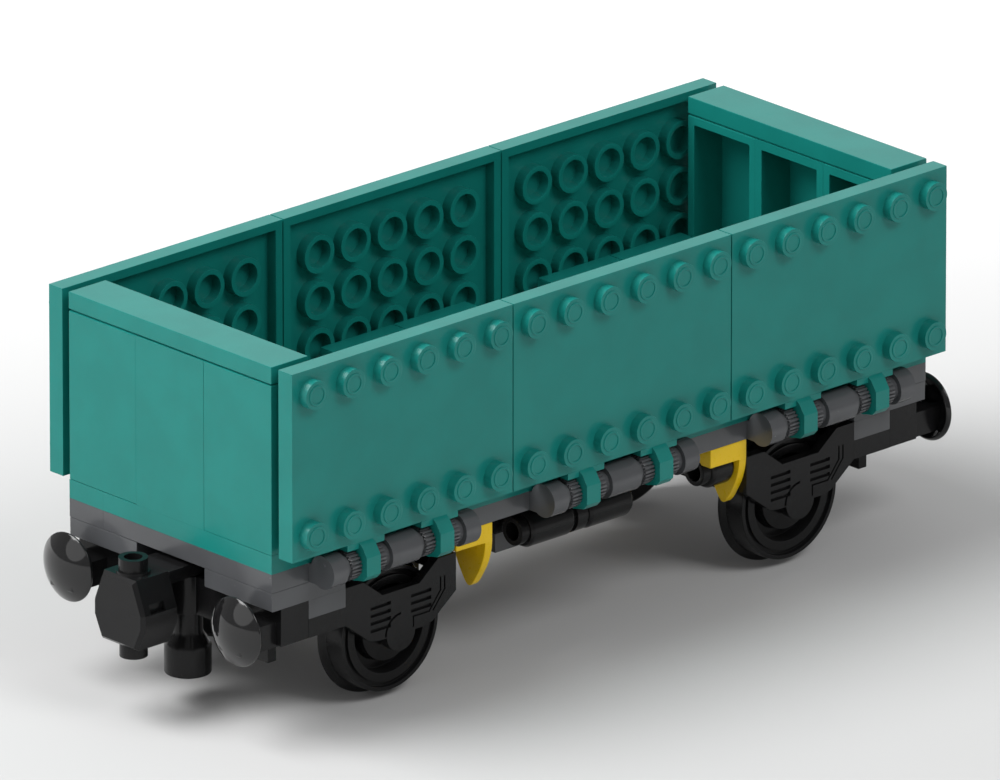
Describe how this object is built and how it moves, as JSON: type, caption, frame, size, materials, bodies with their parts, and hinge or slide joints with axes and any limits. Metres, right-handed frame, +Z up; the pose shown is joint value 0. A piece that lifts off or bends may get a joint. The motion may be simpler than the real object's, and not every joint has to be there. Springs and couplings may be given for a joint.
{
  "type": "toy railway goods wagon",
  "caption": "Brick-built toy railway open wagon with hinged drop sides, end walls, wheelsets, sprung-look buffers and swinging magnetic couplers.",
  "frame": {"origin": "middle of the wagon on the ground, under the wheels", "axes": "+X along the wagon, +Y across it to the far side, +Z up"},
  "size_m": [0.1668, 0.0612, 0.064],
  "materials": {
    "teal_plastic": "moulded, satin gloss",
    "grey_plastic": "moulded, satin gloss",
    "black_plastic": "moulded, satin gloss",
    "gloss_black_plastic": "moulded, high gloss",
    "yellow_plastic": "moulded, satin gloss",
    "axle_steel": "drawn bar",
    "magnet_metal": "plated disc"
  },
  "bodies": {
    "chassis": {"ballast_plates": "grey_plastic", "belly_plates": "black_plastic", "buffer_beam_left": "black_plastic", "buffer_beam_right": "black_plastic", "buffer_heads_left": "gloss_black_plastic", "buffer_heads_right": "gloss_black_plastic", "cross_plates": "grey_plastic", "deck_plates": "teal_plastic", "end_cap_left": "teal_plastic", "end_cap_right": "teal_plastic", "end_panel_left_1": "teal_plastic", "end_panel_left_2": "teal_plastic", "end_panel_left_3": "teal_plastic", "end_panel_right_1": "teal_plastic", "end_panel_right_2": "teal_plastic", "end_panel_right_3": "teal_plastic", "floor_end_plates": "teal_plastic", "floor_rails": "teal_plastic", "hinge_bases_far_1": "grey_plastic", "hinge_bases_far_2": "grey_plastic", "hinge_bases_far_3": "grey_plastic", "hinge_bases_near_1": "grey_plastic", "hinge_bases_near_2": "grey_plastic", "hinge_bases_near_3": "grey_plastic", "keeper_plates": "black_plastic", "long_tanks": "black_plastic", "lower_core": "grey_plastic", "lower_end_plates": "grey_plastic", "markers": "yellow_plastic", "pivot_blocks": "black_plastic", "short_tanks": "black_plastic", "spacer_plates": "grey_plastic", "tank_clips": "black_plastic", "upper_core": "grey_plastic", "wheel_holder_left": "black_plastic", "wheel_holder_right": "black_plastic"},
    "side_near_1": {"side_panel_near_1": "teal_plastic", "hinge_arms_near_1": "teal_plastic"},
    "side_near_2": {"side_panel_near_2": "teal_plastic", "hinge_arms_near_2": "teal_plastic"},
    "side_near_3": {"side_panel_near_3": "teal_plastic", "hinge_arms_near_3": "teal_plastic"},
    "side_far_1": {"side_panel_far_1": "teal_plastic", "hinge_arms_far_1": "teal_plastic"},
    "side_far_2": {"side_panel_far_2": "teal_plastic", "hinge_arms_far_2": "teal_plastic"},
    "side_far_3": {"side_panel_far_3": "teal_plastic", "hinge_arms_far_3": "teal_plastic"},
    "wheelset_left": {"wheels_left": "black_plastic", "axle_left": "axle_steel"},
    "coupler_left": {"coupler_arm_left": "black_plastic", "coupler_upper_left": "black_plastic", "coupler_lower_left": "black_plastic", "coupler_magnet_left": "magnet_metal"},
    "wheelset_right": {"wheels_right": "black_plastic", "axle_right": "axle_steel"},
    "coupler_right": {"coupler_arm_right": "black_plastic", "coupler_upper_right": "black_plastic", "coupler_lower_right": "black_plastic", "coupler_magnet_right": "magnet_metal"}
  },
  "joints": [
    {"name": "side_near_1_hinge", "type": "hinge", "parent": "chassis", "child": "side_near_1", "pos_m": [-0.048, -0.0272, 0.028], "axis": [1, 0, 0], "range_deg": [0, 120]},
    {"name": "side_near_2_hinge", "type": "hinge", "parent": "chassis", "child": "side_near_2", "pos_m": [0, -0.0272, 0.028], "axis": [1, 0, 0], "range_deg": [0, 120]},
    {"name": "side_near_3_hinge", "type": "hinge", "parent": "chassis", "child": "side_near_3", "pos_m": [0.048, -0.0272, 0.028], "axis": [1, 0, 0], "range_deg": [0, 120]},
    {"name": "side_far_1_hinge", "type": "hinge", "parent": "chassis", "child": "side_far_1", "pos_m": [-0.048, 0.0272, 0.028], "axis": [-1, 0, 0], "range_deg": [0, 120]},
    {"name": "side_far_2_hinge", "type": "hinge", "parent": "chassis", "child": "side_far_2", "pos_m": [0, 0.0272, 0.028], "axis": [-1, 0, 0], "range_deg": [0, 120]},
    {"name": "side_far_3_hinge", "type": "hinge", "parent": "chassis", "child": "side_far_3", "pos_m": [0.048, 0.0272, 0.028], "axis": [-1, 0, 0], "range_deg": [0, 120]},
    {"name": "wheelset_left_spin", "type": "hinge", "parent": "chassis", "child": "wheelset_left", "pos_m": [-0.044, 0, 0.0118], "axis": [0, 1, 0], "continuous": true},
    {"name": "coupler_left_swing", "type": "hinge", "parent": "chassis", "child": "coupler_left", "pos_m": [-0.0683, 0, 0.0187], "axis": [0, 0, 1], "range_deg": [-20, 20]},
    {"name": "wheelset_right_spin", "type": "hinge", "parent": "chassis", "child": "wheelset_right", "pos_m": [0.044, 0, 0.0118], "axis": [0, 1, 0], "continuous": true},
    {"name": "coupler_right_swing", "type": "hinge", "parent": "chassis", "child": "coupler_right", "pos_m": [0.0683, 0, 0.0187], "axis": [0, 0, 1], "range_deg": [-20, 20]}
  ]
}
